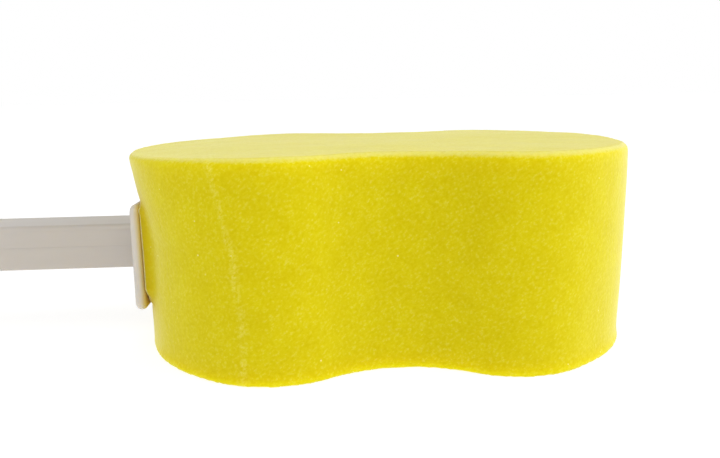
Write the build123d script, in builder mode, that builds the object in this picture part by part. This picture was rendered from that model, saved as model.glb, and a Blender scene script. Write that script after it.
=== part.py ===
"""Long-handled washing sponge: a waisted foam block on a two-shell plastic handle.

Frame: origin at the centre of the sponge's lower face, +Z up, +X from the handle
through the sponge to its free end. Millimetres.

Pieces: foam block, barbed spine with its flange, two adhesive films, and the upper and
lower shells of the handle.
"""
import os
from math import cos, radians, sin, sqrt

from build123d import *

# ---------------------------------------------------------------- driving dimensions
# foam block
SPONGE_LENGTH = 150.0
SPONGE_WIDTH = 98.0
SPONGE_WAIST = 80.0
SPONGE_HEIGHT = 60.0
LOBE_CORNER_RADIUS = 29.8       # the four full corners of the two lobes
LOBE_END_RADIUS = 52.1          # the flatter arc across each end
SPONGE_EDGE_RADIUS = 1.6        # worn rim of the upper and lower faces

# flange that stops the sponge's end
FLANGE_WIDTH = 46.0
FLANGE_HEIGHT = 31.6
FLANGE_THICKNESS = 3.2
FLANGE_CORNER_RADIUS = 2.6
FLANGE_RIM_RADIUS = 1.5         # rim rounded almost to a half circle
FLANGE_SINK = 2.5               # how far the flange presses into the foam
FLANGE_DROP = 0.9               # the flange sits this much below the handle's axis
FLANGE_LEAN = 1.15              # degrees that its upper edge leans towards the sponge

# barbed paddle of the spine
PADDLE_LENGTH = 112.0
PADDLE_WIDTH = 24.0
PADDLE_THICKNESS = 3.6
PADDLE_TIP_RADIUS = 9.0
BARB_COUNT = 6
BARB_PITCH = 15.0
BARB_LENGTH = 7.0
BARB_REACH = 3.0

# slot in the foam and the adhesive films that fill it
FILM_THICKNESS = 1.2
FILM_START = 0.2                # the films begin this far behind the flange
FILM_WIDTH = 28.0
FILM_CORNER_RADIUS = 6.0
SLOT_GAP = 1.0                  # slot wall to the barbs and to the paddle's tip

# handle
HANDLE_LENGTH = 248.0           # from the flange to the end of the grip
SHANK_WIDTH = 17.5
SHANK_HEIGHT = 13.7
SHANK_LENGTH = 104.0            # the straight stretch beside the flange
FLARE_LENGTH = 38.0             # where the shank swells into the grip
GRIP_WIDTH = 26.0
GRIP_HEIGHT = 18.0
UPPER_EDGE_RADIUS = 2.0         # the upper edges are well rounded for the palm
LOWER_EDGE_RADIUS = 0.8
WALL = 1.9
SEAM_BEAD_REACH = 0.08          # weld bead that stands proud along the seam
SEAM_BEAD_HEIGHT = 0.5
HANGING_HOLE_RADIUS = 4.5
HANGING_HOLE_LIP = 1.0
HANGING_BOSS_RADIUS = 6.6

# tang of the spine, held between the shells
TANG_LENGTH = 46.0
TANG_CLEARANCE = 0.2
TANG_EDGE_RADIUS = 0.8
LOCK_GROOVE_WIDTH = 2.2
LOCK_GROOVE_DEPTH = 1.4
LOCK_GROOVE_OFFSETS = (16.0, 34.0)      # from the flange

# inside the shells
RIB_COUNT = 7
RIB_THICKNESS = 1.2
RIB_PITCH = 24.0
FIRST_RIB_GAP = 6.0             # from the tang's end to the first rib
RIB_GAP = 0.2                   # rib to rib across the seam
PEG_BAYS = (0, 3, 5)            # the spaces between ribs that hold a peg, counted from the tang
PEG_RADIUS = 1.5
PEG_HEIGHT = 2.6
PEG_BOSS_RADIUS = 3.0
PEG_CLEARANCE = 0.1

# ---------------------------------------------------------------- derived places
MID_HEIGHT = SPONGE_HEIGHT / 2
FLANGE_INNER = -SPONGE_LENGTH / 2 + FLANGE_SINK
FLANGE_OUTER = FLANGE_INNER - FLANGE_THICKNESS
HANDLE_END = FLANGE_OUTER - HANDLE_LENGTH
SHANK_END = FLANGE_OUTER - SHANK_LENGTH
GRIP_START = SHANK_END - FLARE_LENGTH
HOLE_X = HANDLE_END + GRIP_WIDTH / 2
SEAM = Plane.XY.offset(MID_HEIGHT)
SIDE_VIEW = Plane(origin=(0, 0, MID_HEIGHT), x_dir=(1, 0, 0), z_dir=(0, -1, 0))
LEAN = radians(FLANGE_LEAN)
FLANGE_FACE = Plane(
    origin=(FLANGE_INNER, 0, MID_HEIGHT - FLANGE_DROP), x_dir=(0, -1, 0), z_dir=(-cos(LEAN), 0, sin(LEAN))
)
SHELL_END = FLANGE_FACE.offset(FLANGE_THICKNESS)
INSIDE_FLANGE = FLANGE_INNER - FLANGE_THICKNESS / 2
FIRST_RIB = FLANGE_OUTER - TANG_LENGTH - FIRST_RIB_GAP
RIB_POSITIONS = [FIRST_RIB - RIB_PITCH * i for i in range(RIB_COUNT)]
PEG_POSITIONS = [FIRST_RIB - RIB_PITCH * (bay + 0.5) for bay in PEG_BAYS]


def lobe_outline():
    """Draw a quarter of the waisted outline: tangent arcs of end, corner and waist."""
    half_length = SPONGE_LENGTH / 2
    half_width = SPONGE_WIDTH / 2
    half_waist = SPONGE_WAIST / 2
    end_x = half_length - LOBE_END_RADIUS
    corner_y = half_width - LOBE_CORNER_RADIUS
    corner_x = end_x + sqrt((LOBE_END_RADIUS - LOBE_CORNER_RADIUS) ** 2 - corner_y**2)
    waist_radius = (corner_x**2 + (half_waist - corner_y) ** 2 - LOBE_CORNER_RADIUS**2) / (
        2 * (LOBE_CORNER_RADIUS + corner_y - half_waist)
    )
    end_centre = Vector(end_x, 0)
    corner_centre = Vector(corner_x, corner_y)
    waist_centre = Vector(0, half_waist + waist_radius)
    end_to_corner = end_centre + (corner_centre - end_centre).normalized() * LOBE_END_RADIUS
    corner_to_waist = corner_centre + (waist_centre - corner_centre).normalized() * LOBE_CORNER_RADIUS
    end_arc = TangentArc((half_length, 0), end_to_corner, tangent=(0, 1))
    corner_arc = TangentArc(end_to_corner, corner_to_waist, tangent=end_arc % 1)
    TangentArc(corner_to_waist, (0, half_waist), tangent=corner_arc % 1)


def swelling_side(start, shank_half, grip_half, end):
    """Draw one side of the handle: shank, S-shaped flare, grip. Local X runs to the grip's end."""
    flare_middle = ((SHANK_END + GRIP_START) / 2, (shank_half + grip_half) / 2)
    Line((start, shank_half), (SHANK_END, shank_half))
    first = TangentArc((SHANK_END, shank_half), flare_middle, tangent=(-1, 0))
    TangentArc(flare_middle, (GRIP_START, grip_half), tangent=first % 1)
    Line((GRIP_START, grip_half), (end, grip_half))


def long_rims(solid):
    """Choose the edges that run along the handle or round its end, not the upright ones."""
    return solid.edges().filter_by(Axis.Y, reverse=True).filter_by(Axis.Z, reverse=True)


def handle_body(inset):
    """Solid handle, shrunk by inset on every side but the one cut flush with the flange."""
    shank_half = SHANK_WIDTH / 2 - inset
    grip_half = GRIP_WIDTH / 2 - inset
    shank_rise = SHANK_HEIGHT / 2 - inset
    grip_rise = GRIP_HEIGHT / 2 - inset
    end = HANDLE_END + inset
    end_centre = HANDLE_END + GRIP_WIDTH / 2
    with BuildPart() as body:
        with BuildSketch(SEAM):
            with BuildLine():
                swelling_side(INSIDE_FLANGE, shank_half, grip_half, end_centre)
                TangentArc((end_centre, grip_half), (end, 0), tangent=(-1, 0))
                mirror(about=Plane.XZ)
                Line((INSIDE_FLANGE, -shank_half), (INSIDE_FLANGE, shank_half))
            make_face()
        extrude(amount=GRIP_HEIGHT, both=True)
        with BuildSketch(SIDE_VIEW):
            with BuildLine():
                swelling_side(INSIDE_FLANGE, shank_rise, grip_rise, end)
                Line((end, grip_rise), (end, 0))
                mirror(about=Plane.XZ)
                Line((INSIDE_FLANGE, -shank_rise), (INSIDE_FLANGE, shank_rise))
            make_face()
        extrude(amount=GRIP_WIDTH, both=True, mode=Mode.INTERSECT)
        upper_rims = long_rims(body).filter_by(lambda edge: edge.center().Z > MID_HEIGHT)
        fillet(upper_rims, UPPER_EDGE_RADIUS - inset)
        if LOWER_EDGE_RADIUS > inset:
            lower_rims = long_rims(body).filter_by(lambda edge: edge.bounding_box().max.Z < MID_HEIGHT)
            fillet(lower_rims, LOWER_EDGE_RADIUS - inset)
        split(bisect_by=SHELL_END, keep=Keep.TOP)
    return body.part


def tang_locks():
    """Cross ribs on the shells' inner walls that drop into the tang's grooves."""
    reach = LOCK_GROOVE_DEPTH - TANG_CLEARANCE
    rise = SHANK_HEIGHT / 2 - WALL - reach / 2
    places = [
        (FLANGE_OUTER - offset, 0, MID_HEIGHT + side * rise)
        for offset in LOCK_GROOVE_OFFSETS
        for side in (1, -1)
    ]
    with Locations(*places):
        Box(LOCK_GROOVE_WIDTH - 2 * TANG_CLEARANCE, SHANK_WIDTH, reach)


def handle_inside():
    """Ribs, bosses and tang locks of both shells, trimmed to the hollow they stand in."""
    with BuildPart() as inside:
        with Locations(*[(x, 0, MID_HEIGHT) for x in RIB_POSITIONS]):
            Box(RIB_THICKNESS, GRIP_WIDTH, GRIP_HEIGHT)
        with Locations((0, 0, MID_HEIGHT)):
            Box(4 * HANDLE_LENGTH, GRIP_WIDTH, RIB_GAP, mode=Mode.SUBTRACT)
        with Locations(*[(x, 0, MID_HEIGHT) for x in PEG_POSITIONS]):
            Cylinder(PEG_BOSS_RADIUS, GRIP_HEIGHT)
        with Locations((HOLE_X, 0, MID_HEIGHT)):
            Cylinder(HANGING_BOSS_RADIUS, GRIP_HEIGHT)
        tang_locks()
        add(handle_cavity, mode=Mode.INTERSECT)
    return inside.part


def handle_shell(keep):
    """One half of the hollow handle, cut at the seam, with its hanging hole."""
    with BuildPart() as shell:
        add(handle_outer)
        add(handle_cavity, mode=Mode.SUBTRACT)
        add(handle_filling)
        add(seam_bead)
        with Locations((HOLE_X, 0, MID_HEIGHT)):
            Cylinder(HANGING_HOLE_RADIUS, 2 * GRIP_HEIGHT, mode=Mode.SUBTRACT)
        split(bisect_by=SEAM, keep=keep)
        lip = shell.edges().filter_by(GeomType.CIRCLE).filter_by(
            lambda edge: abs(edge.radius - HANGING_HOLE_RADIUS) < 0.01
        )
        lip = lip.sort_by(Axis.Z)[-1 if keep == Keep.TOP else 0]
        fillet(lip, radius=HANGING_HOLE_LIP)
    return shell.part


# ---------------------------------------------------------------- foam block
with BuildPart() as sponge_block:
    with BuildSketch():
        with BuildLine():
            lobe_outline()
            mirror(about=Plane.XZ)
            mirror(about=Plane.YZ)
        make_face()
    extrude(amount=SPONGE_HEIGHT)
    fillet(sponge_block.faces().filter_by(Axis.Z).edges(), radius=SPONGE_EDGE_RADIUS)
    # seat that the flange presses into the end
    with BuildSketch(FLANGE_FACE):
        RectangleRounded(FLANGE_WIDTH, FLANGE_HEIGHT, FLANGE_CORNER_RADIUS)
    extrude(amount=FLANGE_THICKNESS, mode=Mode.SUBTRACT)
    # slot for the paddle and its adhesive
    with BuildSketch(SEAM):
        with Locations((INSIDE_FLANGE, 0)):
            Rectangle(
                PADDLE_LENGTH + SLOT_GAP + FLANGE_THICKNESS / 2,
                PADDLE_WIDTH + 2 * (BARB_REACH + SLOT_GAP),
                align=(Align.MIN, Align.CENTER),
            )
    extrude(amount=PADDLE_THICKNESS / 2 + FILM_THICKNESS, both=True, mode=Mode.SUBTRACT)

# ---------------------------------------------------------------- spine: flange, paddle, tang
with BuildPart() as spine:
    with BuildSketch(FLANGE_FACE):
        RectangleRounded(FLANGE_WIDTH, FLANGE_HEIGHT, FLANGE_CORNER_RADIUS)
    extrude(amount=FLANGE_THICKNESS)
    outer_rim = spine.faces().sort_by(Axis.X)[0].edges()
    inner_rim = spine.faces().sort_by(Axis.X)[-1].edges()
    fillet(outer_rim + inner_rim, radius=FLANGE_RIM_RADIUS)
    # flat paddle with a rounded tip and backward barbs
    with BuildSketch(SEAM):
        with Locations((INSIDE_FLANGE, 0)):
            Rectangle(
                PADDLE_LENGTH + FLANGE_THICKNESS / 2,
                PADDLE_WIDTH,
                align=(Align.MIN, Align.CENTER),
            )
        fillet(vertices().sort_by(Axis.X)[-2:], radius=PADDLE_TIP_RADIUS)
        for i in range(BARB_COUNT):
            root = FLANGE_INNER + BARB_PITCH * (i + 1)
            for side in (1, -1):
                edge = side * (PADDLE_WIDTH / 2)
                Polygon(
                    (root - BARB_LENGTH / 2, edge),
                    (root - BARB_LENGTH / 2, edge + side * BARB_REACH),
                    (root + BARB_LENGTH / 2, edge),
                    align=None,
                )
    extrude(amount=PADDLE_THICKNESS / 2, both=True)
    # tang with two lock grooves above and below
    tang_width = SHANK_WIDTH - 2 * (WALL + TANG_CLEARANCE)
    tang_height = SHANK_HEIGHT - 2 * (WALL + TANG_CLEARANCE)
    with Locations((INSIDE_FLANGE, 0, MID_HEIGHT)):
        Box(
            TANG_LENGTH + FLANGE_THICKNESS / 2,
            tang_width,
            tang_height,
            align=(Align.MAX, Align.CENTER, Align.CENTER),
        )
    fillet(spine.edges(Select.LAST).filter_by(Axis.X), radius=TANG_EDGE_RADIUS)
    grooves = [
        (FLANGE_OUTER - offset, 0, MID_HEIGHT + side * tang_height / 2)
        for offset in LOCK_GROOVE_OFFSETS
        for side in (1, -1)
    ]
    with Locations(*grooves):
        Box(LOCK_GROOVE_WIDTH, tang_width, 2 * LOCK_GROOVE_DEPTH, mode=Mode.SUBTRACT)

# ---------------------------------------------------------------- adhesive films
films = {}
for film_name, film_bottom in (
    ("adhesive_upper", MID_HEIGHT + PADDLE_THICKNESS / 2),
    ("adhesive_lower", MID_HEIGHT - PADDLE_THICKNESS / 2 - FILM_THICKNESS),
):
    with BuildPart() as film:
        with BuildSketch(Plane.XY.offset(film_bottom)):
            with Locations((FLANGE_INNER + FILM_START, 0)):
                Rectangle(PADDLE_LENGTH - FILM_START, FILM_WIDTH, align=(Align.MIN, Align.CENTER))
            fillet(vertices(), radius=FILM_CORNER_RADIUS)
        extrude(amount=FILM_THICKNESS)
    films[film_name] = film

# ---------------------------------------------------------------- handle shells
handle_outer = handle_body(0)
handle_cavity = handle_body(WALL)
handle_filling = handle_inside()
with BuildPart() as bead:
    add(handle_body(-SEAM_BEAD_REACH))
    add(handle_outer, mode=Mode.SUBTRACT)
    with Locations((0, 0, MID_HEIGHT)):
        Box(4 * HANDLE_LENGTH, 2 * GRIP_WIDTH, SEAM_BEAD_HEIGHT, mode=Mode.INTERSECT)
seam_bead = bead.part

with BuildPart() as handle_upper_shell:
    add(handle_shell(Keep.TOP))
    with Locations(*[(x, 0, MID_HEIGHT) for x in PEG_POSITIONS]):
        Cylinder(
            PEG_RADIUS + PEG_CLEARANCE,
            PEG_HEIGHT + 2 * PEG_CLEARANCE,
            align=(Align.CENTER, Align.CENTER, Align.MIN),
            mode=Mode.SUBTRACT,
        )

with BuildPart() as handle_lower_shell:
    add(handle_shell(Keep.BOTTOM))
    with Locations(*[(x, 0, MID_HEIGHT) for x in PEG_POSITIONS]):
        Cylinder(PEG_RADIUS, PEG_HEIGHT, align=(Align.CENTER, Align.CENTER, Align.MIN))

# ---------------------------------------------------------------- labels and files
pieces = {
    "sponge_block": sponge_block,
    "spine": spine,
    "adhesive_upper": films["adhesive_upper"],
    "adhesive_lower": films["adhesive_lower"],
    "handle_upper_shell": handle_upper_shell,
    "handle_lower_shell": handle_lower_shell,
}
os.makedirs("parts", exist_ok=True)
for name, piece in pieces.items():
    piece.part.label = name
    export_step(piece.part, f"parts/{name}.step")
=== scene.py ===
"""Looks of the long-handled washing sponge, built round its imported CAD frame. Metres."""
import math

import bmesh
import bpy
import numpy as np
from mathutils import Matrix, Vector, noise


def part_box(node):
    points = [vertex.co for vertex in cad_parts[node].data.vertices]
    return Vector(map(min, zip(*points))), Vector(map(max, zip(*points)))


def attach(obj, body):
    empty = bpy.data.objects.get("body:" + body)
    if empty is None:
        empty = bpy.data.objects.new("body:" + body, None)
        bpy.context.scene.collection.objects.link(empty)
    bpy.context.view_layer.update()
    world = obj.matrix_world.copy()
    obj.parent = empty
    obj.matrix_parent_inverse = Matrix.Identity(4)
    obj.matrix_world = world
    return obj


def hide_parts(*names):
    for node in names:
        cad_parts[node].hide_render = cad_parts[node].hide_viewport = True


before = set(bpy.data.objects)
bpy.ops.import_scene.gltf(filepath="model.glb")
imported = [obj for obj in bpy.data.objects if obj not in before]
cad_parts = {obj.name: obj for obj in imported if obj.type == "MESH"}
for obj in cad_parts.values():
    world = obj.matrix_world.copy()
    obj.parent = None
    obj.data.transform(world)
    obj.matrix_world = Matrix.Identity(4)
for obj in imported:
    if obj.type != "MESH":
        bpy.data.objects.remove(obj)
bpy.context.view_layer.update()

MM = 0.001

# ---------------------------------------------------------------- sizes taken from the frame
SPONGE_LOW, SPONGE_HIGH = (Vector(corner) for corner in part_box("sponge_block"))
SPINE_LOW, SPINE_HIGH = (Vector(corner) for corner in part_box("spine"))
FILM_LOW, FILM_HIGH = (Vector(corner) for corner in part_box("adhesive_upper"))
HALF_LENGTH = (SPONGE_HIGH.x - SPONGE_LOW.x) / 2
HALF_WIDTH = (SPONGE_HIGH.y - SPONGE_LOW.y) / 2
HEIGHT = SPONGE_HIGH.z - SPONGE_LOW.z
FLANGE_HALF_WIDTH = SPINE_HIGH.y
FLANGE_HALF_HEIGHT = (SPINE_HIGH.z - SPINE_LOW.z) / 2
FLANGE_MIDDLE = (SPINE_LOW.z + SPINE_HIGH.z) / 2
FLANGE_INNER = FILM_LOW.x - 0.2 * MM
FLANGE_THICKNESS = 3.2 * MM
FLANGE_CORNER = 2.6 * MM
FLANGE_RIM = 1.5 * MM
FLANGE_LEAN = math.tan(math.radians(1.15))

# ---------------------------------------------------------------- shape of the foam
# its waisted outline: four corner arcs, two end arcs, two waist arcs
HALF_WAIST = 40.0 * MM
CORNER_RADIUS = 29.8 * MM
END_RADIUS = 52.1 * MM
UPPER_RIM = 2.4 * MM
LOWER_RIM = 0.6 * MM
RIM_STEPS = 5
FOOT_STEPS = 6
SPLAY = 0.85 * MM               # how far its foot spreads under its own weight
SPLAY_HEIGHT = 4.5 * MM
VOXEL = 0.82 * MM

# the slot that takes the paddle and its adhesive, with room for the foam's rough walls
SLOT_LENGTH = FILM_HIGH.x - FLANGE_INNER + 1.5 * MM
SLOT_WIDTH = FILM_HIGH.y - FILM_LOW.y + 5.0 * MM
SLOT_HEIGHT = 7.0 * MM
SLOT_MOUTH = 10.0 * MM          # how much longer the cutter is, so that it opens the end

# the end that takes the flange
FLARE_SLOPE = 0.152             # how far the end leans out for each metre above FLARE_START
FLARE_START = 35.0 * MM
FOOT_BULGE = 0.55 * MM
END_DROOP = 0.5 * MM
TOP_CROWN = 0.35 * MM
FREE_END_BULGE = 0.35 * MM
WRAP = 0.6                      # how much of the flange's rounded rim the foam follows
HUG_MOST = 0.97                 # the part of its gap to the flange that swollen foam closes
HUG_DROP = 0.07                 # and how much less of it at the flange's edge
HUG_REACH = 0.9 * MM
LETTING_GO = 2.6 * MM           # added to the foam's distance from the flange's lower edge
PASS_DEPTH = 9.0 * MM           # how far foam beside the flange may stand past it
PASS_REACH = 5.0 * MM
PASS_POWER = 1.4
PASS_SOFTNESS = 0.4 * MM
LAYER_SHARE = 0.03              # thickness left of the foam squeezed against the flange
LAYER_DEPTH = 3.5 * MM
LAYER_MARGIN = 0.3 * MM
# how far the shade painted into the foam round the flange reaches
CREVICE_SHADE_REACH = 2.6 * MM

# relief of the skin: noise frequency for each metre, and height in millimetres
SLOW_WAVE = (32, 0.35)
SHORT_WAVE = (90, 0.12)
CELLS = (620, 0.18)
FINE_GRAIN = (1400, 0.05)
FRAY = (1000, 0.12)
SINK = 0.05                     # millimetres by which the whole skin lies deeper
GRAIN_DEPTH = 0.6
SCUFF_LIFT = 0.12
SCUFF_GRAIN_DEPTH = 0.8

# the scuff down the front of the left lobe, and the band of the upper rim that is frayed and
# painted with sheen
FRONT = -30.0 * MM
SCUFF_X = -42.0 * MM
SCUFF_TURN = 14.0 * MM          # the height where its bend is nearest to the free end
SCUFF_BEND = 3.3
FRAY_AND_SHEEN_START = 58.2 * MM
FRAY_AND_SHEEN_FULL = 59.9 * MM

# ---------------------------------------------------------------- colours
STRUT_DEEP = (0.63, 0.53, 0.001)
STRUT_MIDDLE = (0.665, 0.57, 0.006)
STRUT_PALE = (0.70, 0.612, 0.040)
DRIFT_LOW = (0.975, 0.965, 0.8)
DRIFT_HIGH = (1.02, 1.025, 1.2)
TORN = (0.84, 0.78, 0.22)
# painted glint on single cell walls
GLINT = (0.90, 0.86, 0.40)
# painted sheen for the upper rim
PAINTED_RIM_SHEEN = (0.73, 0.67, 0.18)
# painted shade for the crevice round the flange: a darker, deeper orange
PAINTED_CREVICE_SHADE = (0.54, 0.29, 0.001)
BLOOM = (1.0, 0.98, 0.75)
HANDLE_IVORY = (0.56, 0.515, 0.465)
# painted light: the spine is the handle's ivory plastic, made a little lighter because its flange
# is lit more
LIT_SPINE_IVORY = (0.60, 0.56, 0.51)
WARMER = (1.012, 1.008, 0.995)
COOLER = (0.985, 0.99, 0.995)
# painted yellow light from the foam, on the flange's inner side
PAINTED_FOAM_LIGHT = (0.66, 0.49, 0.03)
GLUE_DEEP = (0.62, 0.52, 0.28)
GLUE_PALE = (0.78, 0.70, 0.46)
WHITE = (1.0, 1.0, 1.0)
FLOOR_GREY = (0.35, 0.35, 0.35)


# ---------------------------------------------------------------- shader nodes
class Graph:
    """Adds shader nodes to one node tree."""

    def __init__(self, tree):
        self.tree = tree
        tree.nodes.clear()

    def feed(self, node, inputs):
        """Links each named or numbered input to a socket, or sets it to a value."""
        for name, value in inputs.items():
            socket = node.inputs[name]
            if isinstance(value, bpy.types.NodeSocket):
                self.tree.links.new(value, socket)
            elif socket.type == "RGBA":
                socket.default_value = (*value, 1)
            else:
                socket.default_value = value

    def add(self, kind, inputs=None, **settings):
        node = self.tree.nodes.new("ShaderNode" + kind)
        for name, value in settings.items():
            setattr(node, name, value)
        self.feed(node, inputs or {})
        return node

    def math(self, operation, *values):
        """A result kept between 0 and 1."""
        inputs = dict(enumerate(values))
        return self.add("Math", inputs, operation=operation, use_clamp=True).outputs[0]

    def mix(self, factor, first, second, mode="MIX"):
        inputs = {0: factor, 6: first, 7: second}
        return self.add("Mix", inputs, data_type="RGBA", blend_type=mode).outputs[2]

    def ramp(self, factor, *stops):
        """A colour ramp through (position, colour) stops, where a number is a grey."""
        node = self.add("ValToRGB", {"Fac": factor})
        elements = node.color_ramp.elements
        colours = [c if isinstance(c, tuple) else (c, c, c) for _, c in stops]
        elements[0].position = stops[0][0]
        elements[1].position = stops[-1][0]
        elements[0].color = (*colours[0], 1)
        elements[1].color = (*colours[-1], 1)
        for (position, _), colour in zip(stops[1:-1], colours[1:-1]):
            elements.new(position).color = (*colour, 1)
        return node.outputs["Color"]

    def noise(self, place, scale, detail, roughness=0.5):
        inputs = {"Vector": place, "Scale": scale, "Detail": detail, "Roughness": roughness}
        return self.add("TexNoise", inputs).outputs["Fac"]

    def voronoi(self, place, scale):
        return self.add("TexVoronoi", {"Vector": place, "Scale": scale})

    def object_place(self):
        return self.add("TexCoord").outputs["Object"]

    def attribute(self, name):
        return self.add("Attribute", attribute_name=name).outputs["Fac"]

    def bump(self, height, strength, distance):
        inputs = {"Height": height, "Strength": strength, "Distance": distance}
        return self.add("Bump", inputs).outputs["Normal"]


def new_material(name):
    """A material, its graph and its Principled shader."""
    material = bpy.data.materials.new(name)
    material.use_nodes = True
    graph = Graph(material.node_tree)
    shader = graph.add("BsdfPrincipled")
    graph.add("OutputMaterial", {"Surface": shader.outputs["BSDF"]})
    return material, graph, shader


# ---------------------------------------------------------------- materials
def foam_material():
    """Open-cell polyurethane: a dense pale grain on deep yellow, scuffed and frayed in places, with
    painted sheen on the upper rim, painted glints and painted shade round the flange.
    """
    material, graph, shader = new_material("yellow_foam")
    place = graph.object_place()
    # the cells are drawn out a little along the saw's slanting path
    drawn = graph.add(
        "Mapping",
        {"Vector": place, "Rotation": (0, math.radians(-35), 0), "Scale": (1.35, 1.0, 1.0)},
        vector_type="TEXTURE",
    ).outputs[0]
    fine = graph.voronoi(drawn, 1700.0).outputs["Distance"]
    coarse = graph.voronoi(drawn, 1050.0).outputs["Distance"]
    speck = graph.noise(drawn, 1250.0, 2.0, 0.75)
    grain = graph.math("MULTIPLY_ADD", speck, 0.9, 0.275)
    grain = graph.math("MULTIPLY_ADD", fine, -0.2, grain)
    grain = graph.math("MULTIPLY_ADD", coarse, -0.3, grain)
    colour = graph.ramp(grain, (0.25, STRUT_DEEP), (0.5, STRUT_MIDDLE), (0.75, STRUT_PALE))
    # slow drift of the foam's own yellow
    drift = graph.ramp(graph.noise(place, 120.0, 3.0, 0.55), (0.3, DRIFT_LOW), (0.7, DRIFT_HIGH))
    colour = graph.mix(1.0, colour, drift, "MULTIPLY")
    # torn cells along the scuff are paler
    flecks = graph.ramp(grain, (0.3, 0.0), (0.65, 1.0))
    patches = graph.ramp(graph.noise(place, 330.0, 2.0), (0.35, 0.4), (0.6, 1.0))
    torn = graph.math("MULTIPLY", graph.attribute("scuff"), flecks)
    torn = graph.math("MULTIPLY", torn, patches)
    torn = graph.math("MULTIPLY", torn, 0.3)
    colour = graph.mix(torn, colour, TORN)
    # painted glints: here and there a single cell wall is painted pale, as if it caught the light
    walls = graph.voronoi(place, 260.0)
    near = graph.ramp(walls.outputs["Distance"], (0.04, 1.0), (0.075, 0.0))
    chosen = graph.ramp(walls.outputs["Color"], (0.62, 0.0), (0.66, 0.7))
    colour = graph.mix(graph.math("MULTIPLY", near, chosen), colour, GLINT)
    # painted sheen: the upper rim is painted paler, like the sheen on the upper face, with a ragged
    # lower edge
    rim_sheen_mask = graph.math("MULTIPLY", graph.attribute("frayed_and_sheen"), 0.55)
    rim_sheen_mask = graph.math("MULTIPLY_ADD", speck, 0.5, rim_sheen_mask)
    rim_sheen_mask = graph.ramp(rim_sheen_mask, (0.38, 0.0), (0.8, 0.8))
    colour = graph.mix(rim_sheen_mask, colour, PAINTED_RIM_SHEEN)
    # painted shade: foam in the crevice round the flange is painted a deeper, darker orange
    colour = graph.mix(graph.attribute("crevice_shade_mask"), colour, PAINTED_CREVICE_SHADE)
    graph.feed(shader, {
        "Base Color": colour,
        "Normal": graph.bump(grain, 0.3, 0.3 * MM),
        "Roughness": graph.math("MULTIPLY_ADD", speck, 0.15, 0.78),
        "IOR": 1.4,
        "Specular IOR Level": 0.05,
        "Subsurface Weight": 0.8,
        "Subsurface Radius": (1.0, 0.8, 0.12),
        "Subsurface Scale": 9.0 * MM,
        # the loose cell walls give the skin its bloom
        "Sheen Weight": 0.66,
        "Sheen Roughness": 0.35,
        "Sheen Tint": BLOOM,
    })
    return material


def plastic_material(name, ivory, smoothest, depth, with_foam_light=False):
    """Ivory polypropylene: satin, with flow marks, and light seeping in to the given depth.

    Where the flange touches the foam, its inner side is painted with yellow light from the foam:
    the last argument turns that on.
    """
    material, graph, shader = new_material(name)
    place = graph.object_place()
    stretched = graph.add("Mapping", {"Vector": place, "Scale": (0.12, 1.0, 1.0)}).outputs[0]
    flow = graph.noise(stretched, 420.0, 4.0, 0.6)
    warm, cool = (tuple(c * k for c, k in zip(ivory, tinge)) for tinge in (WARMER, COOLER))
    colour = graph.ramp(graph.noise(place, 60.0, 3.0), (0.3, cool), (0.7, warm))
    streaks = graph.ramp(flow, (0.35, 0.99), (0.65, 1.008))
    colour = graph.mix(1.0, colour, streaks, "MULTIPLY")
    if with_foam_light:
        # painted light: yellow light from the foam, painted onto the inner side of the flange
        along = graph.add("SeparateXYZ", {0: place}).outputs["X"]
        outer = FLANGE_INNER - FLANGE_THICKNESS
        inputs = {"Value": along, "From Min": outer, "From Max": FLANGE_INNER}
        inward = graph.add("MapRange", inputs).outputs[0]
        foam_light_share = graph.ramp(inward, (0.5, 0.0), (1.0, 0.95))
        colour = graph.mix(foam_light_share, colour, PAINTED_FOAM_LIGHT)
    graph.feed(shader, {
        "Base Color": colour,
        "Normal": graph.bump(graph.noise(place, 2600.0, 2.0, 0.6), 0.06, 0.05 * MM),
        "Roughness": graph.math("MULTIPLY_ADD", flow, 0.14, smoothest),
        "IOR": 1.49,
        "Subsurface Weight": 0.8,
        "Subsurface Radius": (1.0, 0.85, 0.6),
        "Subsurface Scale": depth,
    })
    return material


def adhesive_material():
    """Hot-melt adhesive: amber, glossy, cloudy where it has taken up foam."""
    material, graph, shader = new_material("hot_melt")
    cloud = graph.noise(graph.object_place(), 300.0, 4.0, 0.6)
    graph.feed(shader, {
        "Base Color": graph.ramp(cloud, (0.3, GLUE_DEEP), (0.7, GLUE_PALE)),
        "Roughness": graph.math("MULTIPLY", cloud, 0.5),
        "Subsurface Weight": 0.4,
        "Subsurface Scale": 1.0 * MM,
    })
    return material


# ---------------------------------------------------------------- mesh helpers
def smooth_step(low, high, value):
    t = np.clip((value - low) / (high - low), 0, 1)
    return t * t * (3 - 2 * t)


def arc(centre, radius, start, end, count):
    angles = np.linspace(start, end, count, endpoint=False)
    return np.stack([centre[0] + radius * np.cos(angles), centre[1] + radius * np.sin(angles)], 1)


def apply_modifiers(piece):
    graph = bpy.context.evaluated_depsgraph_get()
    mesh = bpy.data.meshes.new_from_object(piece.evaluated_get(graph), depsgraph=graph)
    piece.modifiers.clear()
    piece.data = mesh


def read_vertices(mesh, name):
    """The vertices' places or normals, one row each."""
    values = np.empty(3 * len(mesh.vertices), np.float32)
    mesh.vertices.foreach_get(name, values)
    return values.reshape(-1, 3).astype(float)


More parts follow.
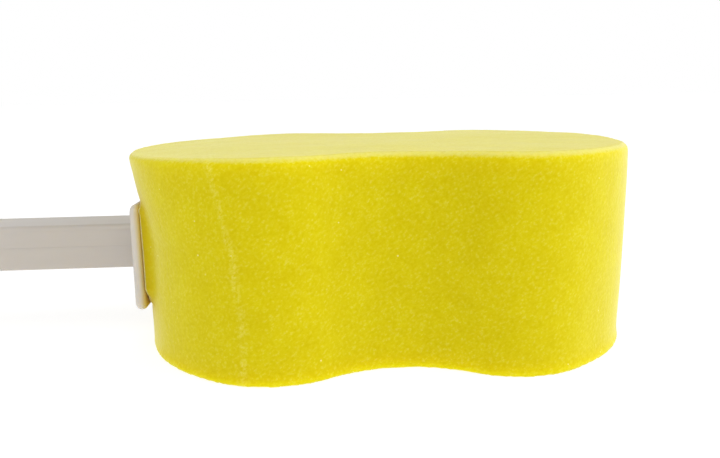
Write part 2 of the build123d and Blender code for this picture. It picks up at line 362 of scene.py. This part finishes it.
# ---------------------------------------------------------------- plain foam block
def foam_outline(inset):
    """The waisted outline as a closed loop, shrunk by inset: tangent arcs mirrored twice."""
    end_x = HALF_LENGTH - END_RADIUS
    corner_y = HALF_WIDTH - CORNER_RADIUS
    corner_x = end_x + math.sqrt((END_RADIUS - CORNER_RADIUS) ** 2 - corner_y**2)
    waist_radius = (corner_x**2 + (HALF_WAIST - corner_y) ** 2 - CORNER_RADIUS**2) / (
        2 * (CORNER_RADIUS + corner_y - HALF_WAIST)
    )
    waist_y = HALF_WAIST + waist_radius
    end_angle = math.atan2(corner_y, corner_x - end_x)
    corner_angle = math.atan2(waist_y - corner_y, -corner_x)
    quarter = np.concatenate([
        arc((end_x, 0), END_RADIUS - inset, 0, end_angle, 40),
        arc((corner_x, corner_y), CORNER_RADIUS - inset, end_angle, corner_angle, 44),
        arc((0, waist_y), waist_radius + inset, corner_angle - math.pi, -math.pi / 2, 24),
        [[0, HALF_WAIST - inset]],
    ])
    upper = np.concatenate([quarter, (quarter * (-1, 1))[-2::-1]])
    return np.concatenate([upper, (upper * (1, -1))[-2:0:-1]])


def rim_levels(radius):
    """Distance from the face and inset of each loop round a rim, from the face outwards."""
    angles = [math.pi / 2 * i / RIM_STEPS for i in range(RIM_STEPS + 1)]
    return [(radius * (1 - math.sin(a)), radius * (1 - math.cos(a))) for a in reversed(angles)]


def foam_solid():
    """The plain foam block with softened rims and a splayed foot, as stacked outlines."""
    foot = [SPLAY_HEIGHT * i / FOOT_STEPS for i in range(1, FOOT_STEPS + 1)]
    levels = [(z, inset, SPLAY) for z, inset in rim_levels(LOWER_RIM)]
    levels += [(z, 0, SPLAY * (1 - z / SPLAY_HEIGHT) ** 2) for z in foot]
    levels += [(HEIGHT - z, inset, 0) for z, inset in reversed(rim_levels(UPPER_RIM))]
    builder = bmesh.new()
    loops = []
    for z, inset, splay in levels:
        outline = foam_outline(inset)
        on_side = smooth_step(5 * MM, 35 * MM, np.abs(outline[:, 1:]))
        outline += (foam_outline(inset - splay) - outline) * on_side
        loops.append([builder.verts.new((x, y, z)) for x, y in outline])
    for low, high in zip(loops, loops[1:]):
        for i in range(len(low)):
            j = (i + 1) % len(low)
            builder.faces.new((low[i], low[j], high[j], high[i]))
    builder.faces.new(loops[0][::-1])
    builder.faces.new(loops[-1])
    bmesh.ops.triangulate(builder, faces=[f for f in builder.faces if len(f.verts) > 4])
    bmesh.ops.recalc_face_normals(builder, faces=builder.faces)
    mesh = bpy.data.meshes.new("foam_block")
    builder.to_mesh(mesh)
    builder.free()
    foam = bpy.data.objects.new("foam_block", mesh)
    bpy.context.scene.collection.objects.link(foam)
    return foam


def cut_slot(foam):
    """Takes the paddle's slot out of the foam, open at the flange."""
    middle = (FLANGE_INNER + SLOT_LENGTH / 2, 0, HEIGHT / 2)
    bpy.ops.mesh.primitive_cube_add(size=1.0, location=middle)
    cutter = bpy.context.object
    cutter.scale = (SLOT_LENGTH + SLOT_MOUTH, SLOT_WIDTH, SLOT_HEIGHT)
    cutter.location.x -= SLOT_MOUTH / 2
    bpy.context.view_layer.update()
    cut = foam.modifiers.new("slot", "BOOLEAN")
    cut.object = cutter
    cut.solver = "EXACT"
    apply_modifiers(foam)
    bpy.data.objects.remove(cutter)


# ---------------------------------------------------------------- foam round the flange
def flange_distance(points):
    """Signed distance of each point from the flange's outline, seen along the handle."""
    beside = np.abs(points[:, 1]) - FLANGE_HALF_WIDTH + FLANGE_CORNER
    above = np.abs(points[:, 2] - FLANGE_MIDDLE) - FLANGE_HALF_HEIGHT + FLANGE_CORNER
    rounded = np.hypot(np.maximum(beside, 0), np.maximum(above, 0))
    return rounded + np.minimum(np.maximum(beside, above), 0) - FLANGE_CORNER


def flange_back(points):
    """The x of the flange's inner face behind each point, with its rounded rim and its lean."""
    into_rim = np.clip(flange_distance(points) / FLANGE_RIM + 1, 0, 1)
    rim = FLANGE_RIM * (1 - np.sqrt(1 - into_rim**2))
    return FLANGE_INNER + FLANGE_LEAN * (points[:, 2] - FLANGE_MIDDLE) - WRAP * rim


def press_by_flange(points):
    """The flange sinks into the end, and the foam round it swells and flares at the top."""
    x, y, z = points.T
    # the end leans out towards its upper edge, which droops a little
    near_end = smooth_step(-30 * MM, -72 * MM, x)
    flare = FLARE_SLOPE * np.maximum(z - FLARE_START, 0)
    flare = flare + FOOT_BULGE * smooth_step(30 * MM, 12 * MM, z)
    x = x - flare * near_end
    z = z - END_DROOP * near_end * smooth_step(40 * MM, 60 * MM, z)
    # the upper face crowns a little, and the free end swells at half height
    crown = np.exp(-(((x - 20 * MM) / (45 * MM)) ** 2))
    z = z + TOP_CROWN * crown * smooth_step(45 * MM, 60 * MM, z)
    at_half_height = np.sin(np.pi * np.clip(z / HEIGHT, 0, 1))
    x = x + FREE_END_BULGE * smooth_step(55 * MM, 74 * MM, x) * at_half_height
    # displaced foam swells up to the flange, but lets go of it along the lower edge
    away, back = flange_distance(points), flange_back(points)
    held = away + LETTING_GO * smooth_step(-9 * MM, -15 * MM, points[:, 2] - FLANGE_MIDDLE)
    hug = HUG_MOST - HUG_DROP * smooth_step(-HUG_REACH, 0, held)
    hug = hug * np.exp(-np.maximum(held, 0) / HUG_REACH)
    x = x - np.maximum(x - back, 0) * hug * smooth_step(-50 * MM, -66 * MM, x)
    # and nothing stays where the flange is
    nearness = np.exp(-((np.maximum(away, 0) / PASS_REACH) ** PASS_POWER))
    limit = back - PASS_DEPTH * (1 - nearness)
    pushed = PASS_SOFTNESS * np.logaddexp(x / PASS_SOFTNESS, limit / PASS_SOFTNESS)
    x = np.where(x < -40 * MM, pushed, x)
    return np.stack([x, y, z], 1)


# ---------------------------------------------------------------- the foam's skin
def ripple(place, layer):
    frequency, height = layer
    return noise.noise(place * frequency) * height


def scuff_at(x, y, z):
    """How scuffed a point is: a wandering line down the front of the left lobe."""
    if y >= FRONT:
        return 0.0
    line = SCUFF_X - SCUFF_BEND * (z - SCUFF_TURN) ** 2
    wander = 0.9 * MM * noise.noise(Vector((3.1, 0, z * 130)))
    width = (0.9 + 0.6 * noise.noise(Vector((0, 7.7, z * 160)))) * MM
    return max(0.0, 1 - abs(x - line - wander) / (1.7 * width))


def fray_and_sheen_at(z, upright):
    """How frayed a point is, which also sets where sheen is painted: the upper rim is, but not the
    flat face inside it.
    """
    return smooth_step(FRAY_AND_SHEEN_START, FRAY_AND_SHEEN_FULL, z) * smooth_step(1.0, 0.95, upright)


def roughen(points, normals):
    """Moves the skin in and out, and says how scuffed each point is and how frayed, which also sets
    the painted sheen.
    """
    moved = points.copy()
    scuffs = np.zeros(len(points))
    frays_and_sheen = np.zeros(len(points))
    for i, (point, normal) in enumerate(zip(points, normals)):
        place = Vector(point)
        nearest, next_nearest = noise.voronoi(place * CELLS[0])[0][:2]
        grain = (next_nearest - nearest) * CELLS[1] + ripple(place, FINE_GRAIN)
        scuffs[i] = scuff_at(*point)
        frays_and_sheen[i] = fray_and_sheen_at(point[2], abs(normal[2]))
        wave = ripple(place, SLOW_WAVE) + ripple(place, SHORT_WAVE) + ripple(place, FRAY) * frays_and_sheen[i]
        lift = wave - SINK - grain * GRAIN_DEPTH
        lift += scuffs[i] * (SCUFF_LIFT - SCUFF_GRAIN_DEPTH * grain)
        moved[i] += normal * lift * MM
    return moved, scuffs, frays_and_sheen


def make_foam():
    foam = foam_solid()
    cut_slot(foam)
    remesh = foam.modifiers.new("cells", "REMESH")
    remesh.mode = "VOXEL"
    remesh.voxel_size = VOXEL
    apply_modifiers(foam)
    mesh = foam.data
    points = press_by_flange(read_vertices(mesh, "co"))
    mesh.vertices.foreach_set("co", points.ravel())
    mesh.update()
    points, scuffs, frays_and_sheen = roughen(points, read_vertices(mesh, "normal"))
    away, back = flange_distance(points), flange_back(points)
    # what reaches the flange is squeezed into a thin layer against its inner face
    layer = back + LAYER_SHARE * (points[:, 0] - back + LAYER_DEPTH)
    pressed = away < LAYER_MARGIN
    points[pressed, 0] = np.maximum(points[pressed, 0], layer[pressed])
    # and the foot stands flat on the ground
    points[:, 2] = np.maximum(points[:, 2], 0.0)
    mesh.vertices.foreach_set("co", points.ravel())
    # painted shade: foam in the crevice round the flange is marked for a darker orange, fading away
    # from the flange
    near_end = smooth_step(-50 * MM, -64 * MM, points[:, 0])
    from_flange = np.hypot(np.maximum(away, 0), np.maximum(points[:, 0] - back, 0))
    crevice_shade_amounts = near_end * np.exp(-from_flange / CREVICE_SHADE_REACH)
    for name, values in (("scuff", scuffs), ("frayed_and_sheen", frays_and_sheen), ("crevice_shade_mask", crevice_shade_amounts)):
        mesh.attributes.new(name, "FLOAT", "POINT").data.foreach_set("value", values)
    mesh.update()
    mesh.shade_smooth()
    mesh.materials.clear()
    mesh.materials.append(foam_material())
    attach(foam, "root")
    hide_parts("sponge_block")


# ---------------------------------------------------------------- plastic and adhesive pieces
def dress_cad_nodes():
    """The CAD's own meshes keep their shape, and get their materials."""
    handle = plastic_material("handle_ivory", HANDLE_IVORY, 0.24, 0.3 * MM)
    # painted light: the spine's ivory is lighter than the handle's, and its flange's inner side
    # gets painted foam light
    spine = plastic_material("lit_spine_ivory", LIT_SPINE_IVORY, 0.34, 4.0 * MM, with_foam_light=True)
    glue = adhesive_material()
    for name, material in (
        ("handle_upper_shell", handle),
        ("handle_lower_shell", handle),
        ("spine", spine),
        ("adhesive_upper", glue),
        ("adhesive_lower", glue),
    ):
        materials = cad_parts[name].data.materials
        materials.clear()
        materials.append(material)


# ---------------------------------------------------------------- camera, floor and light
def make_camera():
    """The photograph's viewing angle."""
    data = bpy.data.cameras.new("camera")
    data.sensor_width = 36.0
    data.lens = 32.37
    camera = bpy.data.objects.new("camera", data)
    bpy.context.scene.collection.objects.link(camera)
    heading = Matrix.Rotation(math.radians(-3.334), 4, "Z")
    dip = Matrix.Rotation(math.radians(90 - 12.058), 4, "X")
    roll = Matrix.Rotation(math.radians(-0.957), 4, "Z")
    place = Matrix.Translation((-20.14 * MM, -207.88 * MM, 75.91 * MM))
    camera.matrix_world = place @ (heading @ dip @ roll)
    bpy.context.scene.camera = camera


def make_floor():
    """A plain floor that glows a little, so that it stays pale."""
    material, graph, shader = new_material("pale_floor")
    graph.feed(shader, {
        "Base Color": FLOOR_GREY,
        "Roughness": 0.9,
        "Emission Color": WHITE,
        "Emission Strength": 0.77,
    })
    bpy.ops.mesh.primitive_plane_add(size=12.0, location=(0, 0, 0))
    floor = bpy.context.object
    floor.name = "floor"
    floor.data.materials.append(material)


def make_world():
    """Studio air that is brighter on the right, with a white band all round the horizon."""
    world = bpy.data.worlds.new("studio")
    bpy.context.scene.world = world
    world.use_nodes = True
    graph = Graph(world.node_tree)
    direction = graph.add("TexCoord").outputs["Generated"]
    bright_side = Vector((0.9, 0.45, 0.0)).normalized()
    aligned = graph.add("VectorMath", {0: direction, 1: bright_side}, operation="DOT_PRODUCT")
    toward = graph.math("MULTIPLY_ADD", aligned.outputs["Value"], 0.5, 0.5)
    glow = graph.ramp(toward, (0.45, 0.36), (0.95, 1.0))
    height = graph.add("SeparateXYZ", {0: direction}).outputs["Z"]
    band = graph.ramp(height, (0.16, 1.0), (0.28, 0.0))
    air = graph.add("Background", {"Color": graph.mix(band, glow, WHITE), "Strength": 1.0})
    graph.add("OutputWorld", {"Surface": air.outputs[0]})


def area_light(name, place, target, size, power):
    data = bpy.data.lights.new(name, "AREA")
    data.size = size
    data.energy = power
    light = bpy.data.objects.new(name, data)
    light.location = place
    light.rotation_euler = (Vector(target) - Vector(place)).to_track_quat("-Z", "Y").to_euler()
    bpy.context.scene.collection.objects.link(light)


make_camera()
make_foam()
dress_cad_nodes()
make_floor()
make_world()
area_light("right_softbox", (0.9, -0.3, 0.5), (0.03, 0, 0.03), 0.7, 3.6)
area_light("front_softbox", (-0.15, -0.6, 0.95), (0, 0, 0.03), 0.7, 3.5)
area_light("overhead_softbox", (-0.1, -0.25, 1.0), (0, 0, 0.03), 0.4, 1.0)
bpy.context.scene.view_settings.view_transform = "Standard"
